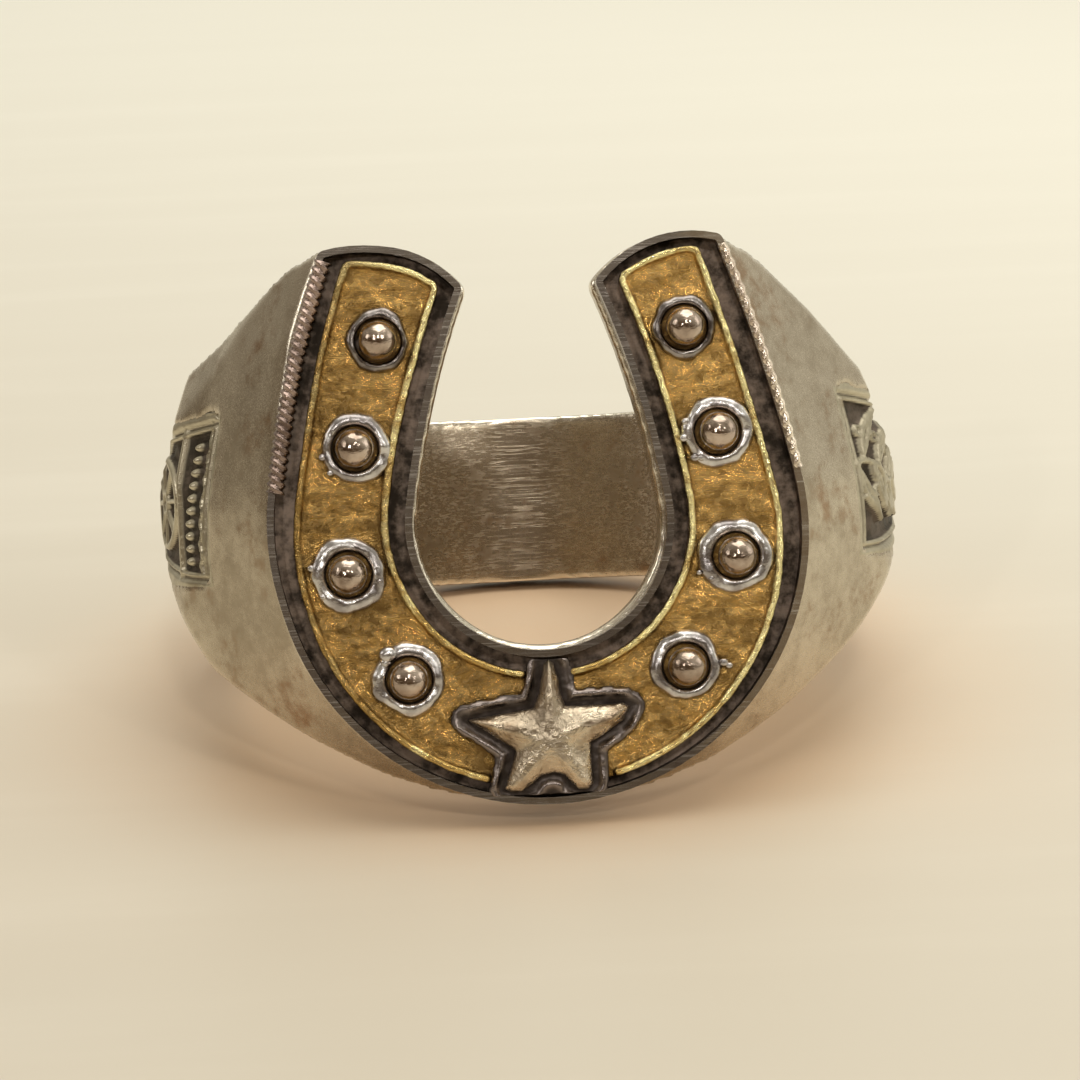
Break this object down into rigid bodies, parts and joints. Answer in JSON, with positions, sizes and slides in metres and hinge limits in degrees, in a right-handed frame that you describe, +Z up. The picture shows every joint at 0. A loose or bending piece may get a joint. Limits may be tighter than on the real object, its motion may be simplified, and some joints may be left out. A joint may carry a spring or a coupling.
{
  "type": "horseshoe finger ring",
  "caption": "Man's silver finger ring with an open horseshoe head, inlaid with a brass shoe with ball-headed nails and a ridged star at the toe.",
  "frame": {"origin": "centre of the finger bore, in the middle of the band's width", "axes": "+Z up with the ring lying on its toe and the back of its band, -Y out to the front with the face, +X to the right"},
  "size_m": [0.0255, 0.0264, 0.0179],
  "materials": {
    "silver": "worn, tarnished",
    "solder_grey": "dull, oxidised",
    "brass": "hammered field, bright rims"
  },
  "bodies": {
    "root": {"shank": "silver", "horseshoe_tray": "silver", "star": "silver", "rope_edge_left": "silver", "rope_edge_right": "silver", "panel_left": "silver", "panel_right": "silver", "nail_stud_left_1": "silver", "nail_stud_left_2": "silver", "nail_stud_left_3": "silver", "nail_stud_left_4": "silver", "nail_stud_right_1": "silver", "nail_stud_right_2": "silver", "nail_stud_right_3": "silver", "nail_stud_right_4": "silver", "star_backing": "solder_grey", "stud_collar_left_1": "solder_grey", "stud_collar_left_2": "solder_grey", "stud_collar_left_3": "solder_grey", "stud_collar_left_4": "solder_grey", "stud_collar_right_1": "solder_grey", "stud_collar_right_2": "solder_grey", "stud_collar_right_3": "solder_grey", "stud_collar_right_4": "solder_grey", "brass_shoe_plate": "brass"}
  },
  "joints": []
}
